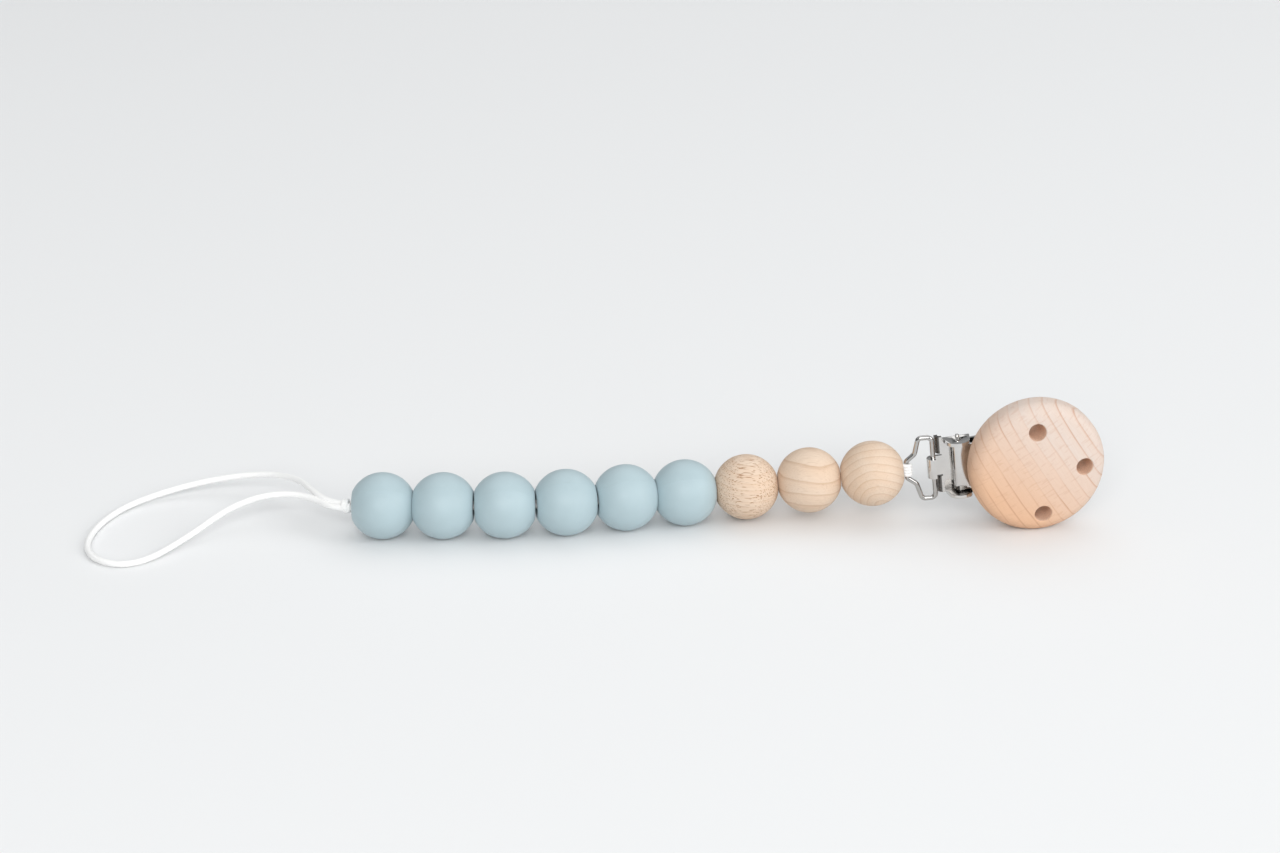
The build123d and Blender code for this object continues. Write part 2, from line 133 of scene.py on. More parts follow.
class StrapSizes(bpy.types.PropertyGroup):
    """Sizes of the cord and the beads."""

    cord_d: length_size("Cord", 1.4 * MM, "Diameter of the braided cord")
    braid_pitch: length_size("Braid pitch", 4.6 * MM, "Length in which a yarn goes once round the cord")
    braid_relief: length_size("Braid relief", 0.035 * MM, "Depth of the grooves between the yarns")
    strand_gap: length_size("Strand gap", 0.04 * MM, "Gap between the two strands in the beads")
    silicone_d: length_size("Silicone bead", SILICONE_D, "Diameter of a silicone bead")
    silicone_l: length_size("Silicone length", 13.1 * MM, "Length of a silicone bead between its flats")
    wood_d: length_size("Wooden bead", WOOD_D, "Diameter of a wooden bead")
    wood_l: length_size("Wooden length", 13.85 * MM, "Length of a wooden bead between its flats")
    bore_r: length_size("Bore radius", 1.77 * MM, "Radius of the hole through a bead")
    edge_r: length_size("Bead edge", 0.2 * MM, "Radius of the edge round a bead's flats")
    silicone_crown: length_size("Silicone crown", 0.1 * MM, "How far a soft bead's end bulges")
    wood_crown: length_size("Wooden crown", 0.015 * MM, "How far a wooden bead's end bulges")
    flash_height: length_size("Mould line", 0.035 * MM, "Height of the silicone beads' mould line")
    flash_width: length_size("Mould line width", 0.22 * MM, "Width of the silicone beads' mould line")
    knot_r: length_size("Knot", 1.12 * MM, "Radius of the coil that the knot's cord makes")


class ClipSizes(bpy.types.PropertyGroup):
    """Sizes of the disc and the clip."""

    disc_d: length_size("Disc", 30 * MM, "Diameter of the wooden disc")
    disc_t: length_size("Disc thickness", 8.8 * MM, "Thickness at the crown")
    disc_sag: length_size("Disc sag", 1.5 * MM, "How much lower the face is at the rim")
    rim_r: length_size("Front edge", 3.2 * MM, "Radius of the disc's front edge")
    back_r: length_size("Back edge", 2.5 * MM, "Radius of the disc's back edge")
    disc_reach: length_size("Disc reach", 21.495 * MM, "From the bail's long bar to the disc's middle")
    disc_seat: length_size("Disc seat", 2.4 * MM, "From the bail's long bar out to the disc's back")
    vent_edge: length_size("Vent edge", 0.35 * MM, "Radius of the sanded edge of each vent hole")
    sheet_edge: length_size("Sheet edge", 0.12 * MM, "Radius of the tumbled edges of the sheet metal")


class ClipTones(bpy.types.PropertyGroup):
    """Colours of the materials, the floor and the light."""

    silicone: tone("Silicone", (0.388, 0.495, 0.53), "The powdery blue of the silicone")
    # The disc's two colours paint shade: the pale one on its lit upper-right side, the warm one on its
    # shaded lower-left side; the warm one also tints the ring steps.
    disc_lit_side: tone("Disc, lit side", (0.655, 0.56, 0.50), "The disc's paler, pinkish side")
    disc_warm_and_shaded_side: tone("Disc, warm and shaded side", (0.70, 0.445, 0.29), "The disc's warmer side")
    disc_line: tone("Disc grain", (0.50, 0.27, 0.17), "The lines between the disc's growth rings")
    bead_pale: tone("Bead, pale", (0.71, 0.58, 0.465), "The paler wood of the beads")
    bead_warm: tone("Bead, warm", (0.66, 0.46, 0.31), "The warmer wood of the beads")
    bead_line: tone("Bead grain", (0.36, 0.20, 0.11), "The dark lines and dashes in the beads")
    bore: tone("Vent walls", (0.80, 0.56, 0.42), "The freshly cut walls of the vents")
    nickel: tone("Nickel", (0.68, 0.67, 0.655), "The bright nickel plate")
    # This colour is painted shade and painted dark reflection for the lips beside the tongue and the
    # ears' inner walls.
    lip_and_ear_painted_shade: tone("Painted shade on lips and ears", (0.10, 0.095, 0.09), "Painted shade on the lips and the ears' inner walls")
    cord: tone("Cord", (0.90, 0.90, 0.89), "The white cord")
    insert: tone("Insert", (0.82, 0.82, 0.80), "The moulded jaw insert")
    zinc: tone("Screws", (0.62, 0.62, 0.62), "The zinc plated screws")
    floor: tone("Floor", (0.80, 0.806, 0.81), "The pale floor")


# ---- modelling helpers -----------------------------------------------------------------------------


def strap_sizes():
    return bpy.context.scene.strap_sizes


def clip_sizes():
    return bpy.context.scene.clip_sizes


def tones():
    return bpy.context.scene.clip_tones


def pick(*pieces):
    """Selects these pieces alone, in object mode, with the first one active."""
    if bpy.context.object and bpy.context.object.mode != "OBJECT":
        bpy.ops.object.mode_set(mode="OBJECT")
    bpy.ops.object.select_all(action="DESELECT")
    for piece in pieces:
        piece.select_set(True)
    bpy.context.view_layer.objects.active = pieces[0]


def choose(piece, kind, test):
    """Selects in edit mode the vertices that pass a test, or the edges with both ends passing."""
    pick(piece)
    bpy.ops.object.mode_set(mode="EDIT")
    bpy.ops.mesh.select_mode(type=kind)
    bpy.ops.mesh.select_all(action="DESELECT")
    bpy.ops.object.mode_set(mode="OBJECT")
    mesh = piece.data
    passed = [test(vertex.co) for vertex in mesh.vertices]
    if kind == "VERT":
        mesh.vertices.foreach_set("select", passed)
    else:
        for edge in mesh.edges:
            edge.select = all(passed[n] for n in edge.vertices)
    bpy.ops.object.mode_set(mode="EDIT")


def named(piece, name):
    piece.name = name
    piece.data.name = name
    return piece


def turned(name, outline, steps):
    """Spins an outline of (radius, height) points round Z into a closed lathe-turned shape."""
    if bpy.context.object and bpy.context.object.mode != "OBJECT":
        bpy.ops.object.mode_set(mode="OBJECT")
    bpy.ops.object.select_all(action="DESELECT")
    bpy.ops.mesh.primitive_plane_add(size=MM)
    piece = named(bpy.context.object, name)
    bpy.ops.object.mode_set(mode="EDIT")
    bpy.ops.mesh.select_all(action="SELECT")
    bpy.ops.mesh.merge(type="CENTER")
    points = [Vector((r, 0, z)) for r, z in outline]
    bpy.ops.transform.translate(value=points[0])
    for before, here in zip(points, points[1:]):
        bpy.ops.mesh.extrude_vertices_move(TRANSFORM_OT_translate={"value": here - before})
    bpy.ops.mesh.select_all(action="SELECT")
    bpy.ops.mesh.spin(steps=steps, angle=2 * pi, center=(0, 0, 0), axis=(0, 0, 1))
    bpy.ops.mesh.select_all(action="SELECT")
    bpy.ops.mesh.remove_doubles(threshold=TINY)
    bpy.ops.mesh.normals_make_consistent(inside=False)
    bpy.ops.object.mode_set(mode="OBJECT")
    return piece


def arc(middle, radius, start, end, steps):
    """Points along an arc, from one angle to another, in degrees."""
    turns = [radians(start + (end - start) * n / steps) for n in range(steps + 1)]
    return [(middle[0] + radius * cos(a), middle[1] + radius * sin(a)) for a in turns]


def row(start, end, steps):
    """Points along a straight line, without its two ends."""
    shares = [n / steps for n in range(1, steps)]
    return [(start[0] + (end[0] - start[0]) * s, start[1] + (end[1] - start[1]) * s) for s in shares]


def place(piece, matrix):
    """Moves a piece into place and leaves its object at the origin."""
    pick(piece)
    piece.matrix_world = matrix
    bpy.ops.object.transform_apply(location=True, rotation=True, scale=True)
    return piece


def copied(piece, name):
    """A copy with its own mesh."""
    pick(piece)
    bpy.ops.object.duplicate()
    return named(bpy.context.object, name)


def apply_all(piece):
    """Applies every modifier in turn."""
    pick(piece)
    for modifier in list(piece.modifiers):
        bpy.ops.object.modifier_apply(modifier=modifier.name)


def smooth(piece, angle):
    pick(piece)
    bpy.ops.object.shade_smooth_by_angle(angle=radians(angle))


def coat(piece, material):
    """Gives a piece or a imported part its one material."""
    piece.data.materials.clear()
    piece.data.materials.append(material)


def dress(piece, material, body):
    """Gives a finished piece its material, its slot and the body that it rides on."""
    coat(piece, material)
    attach(piece, body)


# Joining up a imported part's triangles, and the least angle of an edge that is rounded.
JOIN_WITHIN = 0.002 * MM
FLAT_WITHIN = radians(1)
SHARP_EDGE = radians(50)


def cad_copy(node, name, edge):
    """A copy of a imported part, with its triangles joined up and its edges rounded."""
    source = frame["nodes"][node]
    pick(source)
    bpy.ops.object.duplicate()
    piece = named(bpy.context.object, name)
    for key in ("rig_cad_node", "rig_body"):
        if key in piece:
            del piece[key]
    piece.parent = None
    piece.matrix_world = Matrix.Identity(4)
    if piece.data.has_custom_normals:
        bpy.ops.mesh.customdata_custom_splitnormals_clear()
    bpy.ops.object.mode_set(mode="EDIT")
    bpy.ops.mesh.select_all(action="SELECT")
    bpy.ops.mesh.remove_doubles(threshold=JOIN_WITHIN)
    bpy.ops.mesh.dissolve_limited(angle_limit=FLAT_WITHIN)
    bpy.ops.mesh.select_all(action="SELECT")
    bpy.ops.mesh.normals_make_consistent(inside=False)
    bpy.ops.object.mode_set(mode="OBJECT")
    bevel = piece.modifiers.new("Edges", "BEVEL")
    bevel.width = edge
    bevel.segments = 3
    bevel.limit_method = "ANGLE"
    bevel.angle_limit = SHARP_EDGE
    bevel.use_clamp_overlap = True
    apply_all(piece)
    smooth(piece, 40)
    return piece


# ---- materials -------------------------------------------------------------------------------------


class Finish:
    """A material's node tree, with short calls for the nodes that the finishes share."""

    def __init__(self, name, **surface):
        self.material = bpy.data.materials.new(name)
        self.material.use_nodes = True
        self.tree = self.material.node_tree
        self.shader = self.tree.nodes["Principled BSDF"]
        for socket, value in surface.items():
            self.shader.inputs[socket.replace("_", " ")].default_value = value

    def add(self, kind, **values):
        """A node, with its settings by attribute name and its sockets by socket name."""
        node = self.tree.nodes.new(f"ShaderNode{kind}")
        for name, value in values.items():
            if name in node.bl_rna.properties:
                setattr(node, name, value)
            else:
                self.feed(node.inputs[name], value)
        return node

    def feed(self, socket, value):
        """Links an output to a socket, or sets the socket's own value."""
        if isinstance(value, bpy.types.NodeSocket):
            self.tree.links.new(value, socket)
        else:
            socket.default_value = value

    def math(self, operation, first, second=0.0, clamp=False):
        node = self.add("Math", operation=operation, use_clamp=clamp)
        self.feed(node.inputs[0], first)
        self.feed(node.inputs[1], second)
        return node.outputs[0]

    def ramp(self, value, *stops):
        """Grey levels or colours at places along 0 to 1."""
        node = self.add("ValToRGB", Fac=value)
        elements = node.color_ramp.elements
        while len(elements) < len(stops):
            elements.new(0.5)
        for element, (share, level) in zip(elements, stops):
            element.position = share
            colour = (level, level, level) if isinstance(level, float) else level
            element.color = (*colour, 1)
        return node.outputs["Color"]

    def blend(self, share, first, second):
        """Mixes two colours."""
        node = self.add("Mix", data_type="RGBA")
        for socket, value in zip((0, 6, 7), (share, first, second)):
            if not isinstance(value, (bpy.types.NodeSocket, float)):
                value = (*value, 1)
            self.feed(node.inputs[socket], value)
        return node.outputs[2]

    def object_coords(self, centre=(0, 0, 0), turn=(0, 0, 0)):
        """Object coordinates, centred on a point and turned with the piece."""
        coords = self.add("TexCoord").outputs["Object"]
        own = self.add("Mapping", vector_type="TEXTURE", Vector=coords, Location=centre, Rotation=turn)
        return own.outputs["Vector"]

    def stretched(self, coords, scale):
        return self.add("Mapping", Vector=coords, Scale=scale).outputs["Vector"]

    def noise(self, coords, scale, detail=2.0, roughness=0.5):
        node = self.add("TexNoise", Vector=coords, Scale=scale, Detail=detail, Roughness=roughness)
        return node.outputs["Fac"]

    def bump(self, height, distance, strength=1.0, under=None):
        node = self.add("Bump", Height=height, Distance=distance, Strength=strength)
        if under is not None:
            self.feed(node.inputs["Normal"], under)
        return node.outputs["Normal"]

    def colour(self, value):
        self.feed(self.shader.inputs["Base Color"], value)

    def roughness(self, value):
        self.feed(self.shader.inputs["Roughness"], value)

    def normal(self, value):
        self.feed(self.shader.inputs["Normal"], value)


def scaled(colour, share):
    """A colour with each channel multiplied by a share: under 1 is darker."""
    return tuple(channel * share for channel in colour)


def matte_silicone():
    """Powdery silicone: a faint mottle and the fine texture of a blasted mould."""
    base = tones().silicone
    made = Finish("matte_silicone", Sheen_Weight=0.12, Sheen_Roughness=0.5, Specular_IOR_Level=0.5)
    coords = made.object_coords()
    mottle = made.noise(coords, 160, detail=4.0)
    cloudy = made.ramp(mottle, (0.3, 0.0), (0.7, 1.0))
    made.colour(made.blend(cloudy, scaled(base, 0.965), scaled(base, 1.02)))
    grain = made.noise(coords, 7000, detail=2.0)
    made.roughness(made.ramp(made.noise(coords, 500), (0.3, 0.46), (0.7, 0.54)))
    made.normal(made.bump(grain, 0.012 * MM, strength=0.35))
    return made.material


def growth_lines(made, coords, gap, heart, waver, sharp):
    """The growth rings round a heart that runs along local X: each ring's rise and its thin line."""
    drift = made.noise(made.stretched(coords, (45, 110, 110)), 1.0, detail=2.0)
    parts = made.add("SeparateXYZ", Vector=coords)
    width = made.math("ADD", parts.outputs["Y"], heart[0])
    depth = made.math("ADD", parts.outputs["Z"], heart[1])
    width_squared = made.math("MULTIPLY", width, width)
    depth_squared = made.math("MULTIPLY", depth, depth)
    distance = made.math("SQRT", made.math("ADD", width_squared, depth_squared))
    wandering = made.math("ADD", distance, made.math("MULTIPLY", drift, waver))
    rings = made.math("FRACT", made.math("DIVIDE", wandering, gap))
    return rings, made.ramp(rings, (0.0, 0.1), (0.06, 0.0), (sharp, 0.0), (0.97, 1.0), (1.0, 0.1))


# The disc's grain: its slant across the face, the gap between rings, where the tree's heart is from
# the disc's middle, and how far the rings waver.
DISC_GRAIN_SLANT = radians(62)
DISC_RING_GAP = 2.4 * MM
DISC_HEART = (0.16, 0.040)
DISC_WAVER = 1.2 * MM
# Where the disc's painted shade on its lower-left side gives way to its lit side: how steep the border
# is, how ragged, how far from the middle, and over what breadth the colour changes.
SHADE_BORDER_SLOPE = -0.9
SHADE_BORDER_RAGGED = 9 * MM
SHADE_BORDER_SHIFT = 11 * MM
SHADE_BORDER_BREADTH = 30 * MM


def beech_disc_wood(centre, turn):
    """The disc's beech: grain that crosses the face on the slant, with steps of colour and flecks, and
    painted shade that darkens and warms its lower-left side.
    """
    colours = tones()
    made = Finish("beech_disc", Specular_IOR_Level=0.25)
    coords = made.object_coords(centre, turn)
    grained = made.add("Mapping", Vector=coords, Rotation=(0, 0, DISC_GRAIN_SLANT)).outputs["Vector"]
    rings, lines = growth_lines(made, grained, DISC_RING_GAP, DISC_HEART, DISC_WAVER, 0.82)
    fade = made.ramp(made.noise(made.stretched(grained, (60, 160, 160)), 1.0), (0.36, 0.15), (0.6, 1.0))
    # Painted shade: the disc is blended from its lit colour at the upper right to its darker, warmer
    # colour at the lower left.
    side = made.add("SeparateXYZ", Vector=coords)
    leaning = made.math("MULTIPLY", side.outputs["X"], SHADE_BORDER_SLOPE)
    slant = made.math("SUBTRACT", side.outputs["Y"], leaning)
    cloud = made.noise(made.stretched(grained, (40, 120, 120)), 1.0, detail=3.0)
    ragged = made.math("ADD", slant, made.math("MULTIPLY", cloud, SHADE_BORDER_RAGGED))
    toward_light = made.math("DIVIDE", made.math("ADD", ragged, SHADE_BORDER_SHIFT), SHADE_BORDER_BREADTH)
    painted_shade_share = made.ramp(toward_light, (0.05, 1.0), (0.85, 0.0))
    ground = made.blend(painted_shade_share, tuple(colours.disc_lit_side), tuple(colours.disc_warm_and_shaded_side))
    stepped = made.blend(made.math("MULTIPLY", rings, 0.16), ground, tuple(colours.disc_warm_and_shaded_side))
    faded = made.math("MULTIPLY", made.math("MULTIPLY", lines, fade), 0.72)
    lined = made.blend(faded, stepped, tuple(colours.disc_line))
    ray = made.noise(made.stretched(grained, (2300, 420, 420)), 1.0, detail=1.0)
    rays = made.ramp(ray, (0.58, 0.0), (0.68, 1.0))
    rayed = made.blend(made.math("MULTIPLY", rays, 0.2), lined, tuple(colours.disc_line))
    fibre = made.noise(made.stretched(grained, (260, 4200, 4200)), 1.0, detail=3.0, roughness=0.6)
    threads = made.ramp(fibre, (0.4, 0.0), (0.68, 1.0))
    made.colour(made.blend(made.math("MULTIPLY", threads, 0.1), rayed, tuple(colours.disc_line)))
    made.roughness(made.ramp(fibre, (0.3, 0.52), (0.7, 0.68)))
    nap = made.bump(fibre, 0.02 * MM, strength=0.4)
    made.normal(made.bump(lines, -0.03 * MM, strength=0.5, under=nap))
    return made.material


def bored_beech():
    """The warm end grain inside the vents."""
    made = Finish("bored_beech", Specular_IOR_Level=0.2)
    base = tones().bore
    speck = made.noise(made.object_coords(), 3200, detail=3.0)
    made.colour(made.blend(made.ramp(speck, (0.35, 0.0), (0.7, 1.0)), tuple(base), scaled(base, 0.8)))
    made.roughness(made.ramp(speck, (0.3, 0.62), (0.7, 0.75)))
    made.normal(made.bump(speck, 0.02 * MM, strength=0.4))
    return made.material


def beech_bead_wood(name, centre, turn, gap, heart, dashes, line_share):
    """A bead's beech: growth rings round a heart along local X, and short dark pores along the grain."""
    colours = tones()
    made = Finish(name, Specular_IOR_Level=0.25)
    coords = made.object_coords(centre, turn)
    rings, lines = growth_lines(made, coords, gap, heart, 0.9 * gap, 0.78)
    cloud = made.noise(made.stretched(coords, (60, 190, 190)), 1.0, detail=3.0)
    clouded = made.ramp(cloud, (0.3, 0.0), (0.7, 0.6))
    banded = made.math("ADD", made.math("MULTIPLY", rings, 0.5), clouded)
    share = made.math("MULTIPLY", banded, 0.62, clamp=True)
    ground = made.blend(share, tuple(colours.bead_pale), tuple(colours.bead_warm))
    lined = made.blend(made.math("MULTIPLY", lines, line_share), ground, tuple(colours.bead_line))
    pore = made.noise(made.stretched(coords, (260, 4300, 4300)), 1.0, detail=1.0)
    pores = made.ramp(pore, (0.58, 0.0), (0.65, 1.0))
    dashed = made.blend(made.math("MULTIPLY", pores, dashes), lined, tuple(colours.bead_line))
    fibre = made.noise(made.stretched(coords, (260, 4800, 4800)), 1.0, detail=3.0, roughness=0.6)
    threads = made.ramp(fibre, (0.4, 0.0), (0.68, 1.0))
    made.colour(made.blend(made.math("MULTIPLY", threads, 0.12), dashed, tuple(colours.bead_line)))
    made.roughness(made.ramp(fibre, (0.3, 0.5), (0.7, 0.66)))
    nap = made.bump(fibre, 0.02 * MM, strength=0.4)
    made.normal(made.bump(pores, -0.03 * MM, strength=0.5, under=nap))
    return made.material


def bright_nickel(name, share):
    """Plated steel: polished, with the shallow waves of pressed sheet and faint wear."""
    made = Finish(name, Metallic=1.0)
    # A share under 1 darkens the base colour: the wire's 0.74 is painted shade for its dark reflections.
    base = scaled(tones().nickel, share)
    coords = made.object_coords()
    cloud = made.noise(coords, 380, detail=3.0)
    made.colour(made.blend(made.ramp(cloud, (0.35, 0.0), (0.65, 1.0)), scaled(base, 0.94), tuple(base)))
    scratches = made.noise(made.stretched(coords, (900, 900, 9000)), 1.0, detail=3.0)
    made.roughness(made.ramp(scratches, (0.35, 0.07), (0.7, 0.17)))
    waves = made.bump(made.noise(coords, 210, detail=1.0), 0.12 * MM, strength=0.5)
    made.normal(made.bump(scratches, 0.002 * MM, strength=0.4, under=waves))
    return made.material


def painted_shade_finish():
    """Painted shade: a near-black nickel on the lips beside the tongue and the ears' inner walls,
    standing in for the shadow and dark reflections there.
    """
    made = Finish("painted_shade_finish", Metallic=1.0)
    base = tones().lip_and_ear_painted_shade
    speck = made.noise(made.object_coords(), 1500, detail=3.0)
    made.colour(made.blend(speck, tuple(base), scaled(base, 2.2)))
    made.roughness(made.ramp(speck, (0.3, 0.22), (0.7, 0.36)))
    made.normal(made.bump(speck, 0.004 * MM, strength=0.4))
    return made.material


def braided_fibre():
    """White polyester braid, made once: the yarns' own fibres, read along and round the cord."""
    if "braided_fibre" in bpy.data.materials:
        return bpy.data.materials["braided_fibre"]
    made = Finish("braided_fibre", Sheen_Weight=0.3, Sheen_Roughness=0.4, Specular_IOR_Level=0.45)
    base = tones().cord
    along_and_round = made.add("UVMap", uv_map="along_and_round").outputs["UV"]
    fibres = made.noise(made.stretched(along_and_round, (2500, 9000, 1)), 1.0, detail=2.0)
    made.colour(made.blend(made.ramp(fibres, (0.3, 0.0), (0.7, 1.0)), scaled(base, 0.93), tuple(base)))
    made.roughness(made.ramp(fibres, (0.3, 0.5), (0.7, 0.68)))
    made.normal(made.bump(fibres, 0.012 * MM, strength=0.5))
    return made.material


def moulded_insert():
    """Off-white moulded plastic with a fine spark-eroded texture."""
    made = Finish("moulded_insert", Specular_IOR_Level=0.45)
    base = tones().insert
    coords = made.object_coords()
    mottle = made.noise(coords, 900, detail=3.0)
    made.colour(made.blend(mottle, scaled(base, 0.93), tuple(base)))
    made.roughness(made.ramp(mottle, (0.3, 0.42), (0.7, 0.55)))
    made.normal(made.bump(made.noise(coords, 6000), 0.01 * MM, strength=0.4))
    return made.material


def zinc_plate():
    """Zinc plated screw steel."""
    made = Finish("zinc_plate", Metallic=1.0)
    base = tones().zinc
    coords = made.object_coords()
    spangle = made.noise(coords, 1800, detail=2.0)
    made.colour(made.blend(spangle, scaled(base, 0.85), tuple(base)))
    made.roughness(made.ramp(spangle, (0.3, 0.28), (0.7, 0.42)))
    made.normal(made.bump(spangle, 0.006 * MM, strength=0.5))
    return made.material


def seamless_paper():
    """The pale floor."""
    made = Finish("seamless_paper", Specular_IOR_Level=0.2)
    base = tones().floor
    coords = made.object_coords()
    made.colour(made.blend(made.noise(coords, 3.0), scaled(base, 0.99), tuple(base)))
    made.roughness(made.ramp(made.noise(coords, 900), (0.3, 0.8), (0.7, 0.9)))
    return made.material


# ---- cords -----------------------------------------------------------------------------------------


def spline_points(route, step):
    """Evenly spaced points along the smooth line that a route's control points make."""
    curve = bpy.data.curves.new("route", "CURVE")
    curve.dimensions = "3D"
    curve.resolution_u = 24
    spline = curve.splines.new("NURBS")
    spline.points.add(len(route) - 1)
    for point, where in zip(spline.points, route):
        point.co = (*where, 1)
    spline.order_u = 3
    spline.use_endpoint_u = True
    holder = bpy.data.objects.new("route", curve)
    bpy.context.scene.collection.objects.link(holder)
    bpy.context.view_layer.update()
    line = bpy.data.meshes.new_from_object(holder)
    dense = np.array([vertex.co for vertex in line.vertices])
    bpy.data.objects.remove(holder)
    bpy.data.curves.remove(curve)
    bpy.data.meshes.remove(line)
    travelled = np.concatenate(([0], np.cumsum(np.linalg.norm(np.diff(dense, axis=0), axis=1))))
    count = int(travelled[-1] / step) + 1
    stations = np.linspace(0, travelled[-1], count)
    return np.stack([np.interp(stations, travelled, dense[:, n]) for n in range(3)], axis=1), stations


# Yarns that run each way round the cord, and the cord's width where it was cut.
YARNS = 6
CUT_END = 0.72
# Where the cord is pulled thin: all of it within the first distance, none of it past the second.
THIN_FROM_TO = (2.2 * MM, 5 * MM)
THIN_SHARE = 0.62


def braid_lift(angle, run, pitch):
    """How high the weave stands, 0 to 1: two sets of yarns that pass over and under each other."""
    right = np.cos((YARNS * angle + YARNS * run * 2 * pi / pitch) / 2) ** 2
    left = np.cos((YARNS * angle - YARNS * run * 2 * pi / pitch) / 2) ** 2
    over = (np.cos(YARNS * angle) + np.cos(YARNS * run * 2 * pi / pitch)) / 2
    return np.maximum(right * (0.7 + 0.3 * over), left * (0.7 - 0.3 * over))


def braided_cord(name, route, diameter, step, around=36, thin_at=None):
    """A round braid along a route's smooth line, as one closed mesh, and the line's points.

    Where a point thin_at is given, the cord is pulled thin round it.
    """
    strap = strap_sizes()
    points, stations = spline_points(route, step)
    tangents = np.gradient(points, axis=0)
    tangents /= np.linalg.norm(tangents, axis=1)[:, None]
    side = Vector((0, 0, 1)).cross(Vector(tangents[0])).normalized()
    sides = []
    for tangent in tangents:
        tangent = Vector(tangent)
        side = (side - tangent * side.dot(tangent)).normalized()
        sides.append(side.copy())
    sides = np.array(sides)
    ups = np.cross(tangents, sides)
    angles = np.arange(around) * 2 * pi / around
    lift = braid_lift(angles[None, :], stations[:, None], strap.braid_pitch)
    radii = diameter / 2 - strap.braid_relief * (1 - lift)
    if thin_at is not None:
        away = np.linalg.norm(points - np.array(thin_at), axis=1)
        radii *= np.interp(away, THIN_FROM_TO, [THIN_SHARE, 1.0])[:, None]
    radii[[0, -1]] *= CUT_END
    level, rise = np.cos(angles)[None, :, None], np.sin(angles)[None, :, None]
    ring = level * sides[:, None, :] + rise * ups[:, None, :]
    skin = points[:, None, :] + ring * radii[:, :, None]
    count = len(points)
    faces = []
    uvs = []
    round_share = pi * diameter / around
    for n in range(count - 1):
        ring_start, next_start = n * around, (n + 1) * around
        for k in range(around):
            after = (k + 1) % around
            faces.append((ring_start + k, ring_start + after, next_start + after, next_start + k))
            low, high = k * round_share, (k + 1) * round_share
            here, beyond = stations[n], stations[n + 1]
            uvs += [(here, low), (here, high), (beyond, high), (beyond, low)]
    last = (count - 1) * around
    faces += [tuple(reversed(range(around))), tuple(last + k for k in range(around))]
    uvs += [(0, k * round_share) for k in reversed(range(around))]
    uvs += [(stations[-1], k * round_share) for k in range(around)]
    mesh = bpy.data.meshes.new(name)
    mesh.from_pydata(skin.reshape(-1, 3), [], faces)
    layer = mesh.uv_layers.new(name="along_and_round")
    layer.data.foreach_set("uv", np.array(uvs, np.float32).ravel())
    mesh.update()
    cord = bpy.data.objects.new(name, mesh)
    bpy.context.scene.collection.objects.link(cord)
    pick(cord)
    bpy.ops.object.mode_set(mode="EDIT")
    bpy.ops.mesh.select_all(action="SELECT")
    bpy.ops.mesh.normals_make_consistent(inside=False)
    bpy.ops.object.mode_set(mode="OBJECT")
    smooth(cord, 60)
    return cord, points


# The free loop's control points, millimetres from the first bead's mouth in X and Y and from the
# table in Z. It leaves the knot on the far side, turns back on the table and rises on the near side.
LOOP_ROUTE = [
    (-1.75, 0.62, 7.4),
    (-5.6, 1.3, 7.8),
    (-9.0, 5.6, 7.9),
    (-13.6, 14.8, 7.1),
    (-20.4, 20.4, 5.9),
    (-28.5, 22.7, 4.4),
    (-37.3, 22.7, 2.8),
    (-45.6, 19.4, 1.6),
    (-52.6, 13.9, 0.9),
    (-56.6, 5.6, 0.76),
    (-57.9, -2.6, 0.72),
    (-57.0, -8.8, 0.72),
    (-53.8, -13.6, 0.72),
    (-48.4, -16.0, 0.72),
    (-43.2, -13.8, 0.75),
    (-38.6, -7.8, 1.2),
    (-33.8, -2.4, 2.6),
    (-28.6, 3.0, 4.8),
    (-21.8, 7.0, 6.4),
    (-14.4, 7.0, 7.2),
    (-8.2, 3.5, 7.3),
    (-4.9, -0.2, 7.2),
    (-1.75, -0.86, 7.2),
]

# The hitch: the cord is pulled thin and coiled round the bail's narrow bar.
HITCH_TURNS = 4
HITCH_PITCH = 0.93 * MM
HITCH_R = 0.99 * MM
# The two strands that come to it from the last bead: how far off they run straight, and how far back,
# apart and forward they meet the coil.
STRAND_END = 5.2 * MM
STRAND_BACK, STRAND_APART, STRAND_FORWARD = 2.4 * MM, 1.15 * MM, 0.3 * MM


def hitch_route(bar, last, front):
    """The coil round the narrow bar, from the strand above to the strand below."""
    points = [bar - last * STRAND_BACK + UP * STRAND_APART + front * STRAND_FORWARD]
    per_turn = 8
    steps = HITCH_TURNS * per_turn
    for n in range(steps + 1):
        angle = 2 * pi * n / per_turn
        rise = (0.5 - n / steps) * (HITCH_TURNS - 1) * HITCH_PITCH
        points.append(bar + UP * rise + (front * sin(angle) - last * cos(angle)) * HITCH_R)
    return points + [bar - last * STRAND_BACK - UP * STRAND_APART - front * STRAND_FORWARD]


def bead_axis(name):
    return joint_axis(f"{name}_spin")


def across(axis):
    """The level direction across the string, towards the disc's front side."""
    return axis.cross(Vector((0, 0, 1))).normalized()


def mouth():
    """The middle of the first bead's outer flat."""
    strap = strap_sizes()
    return joint_place(f"{BEADS[0]}_spin") - bead_axis(BEADS[0]) * strap.silicone_l / 2


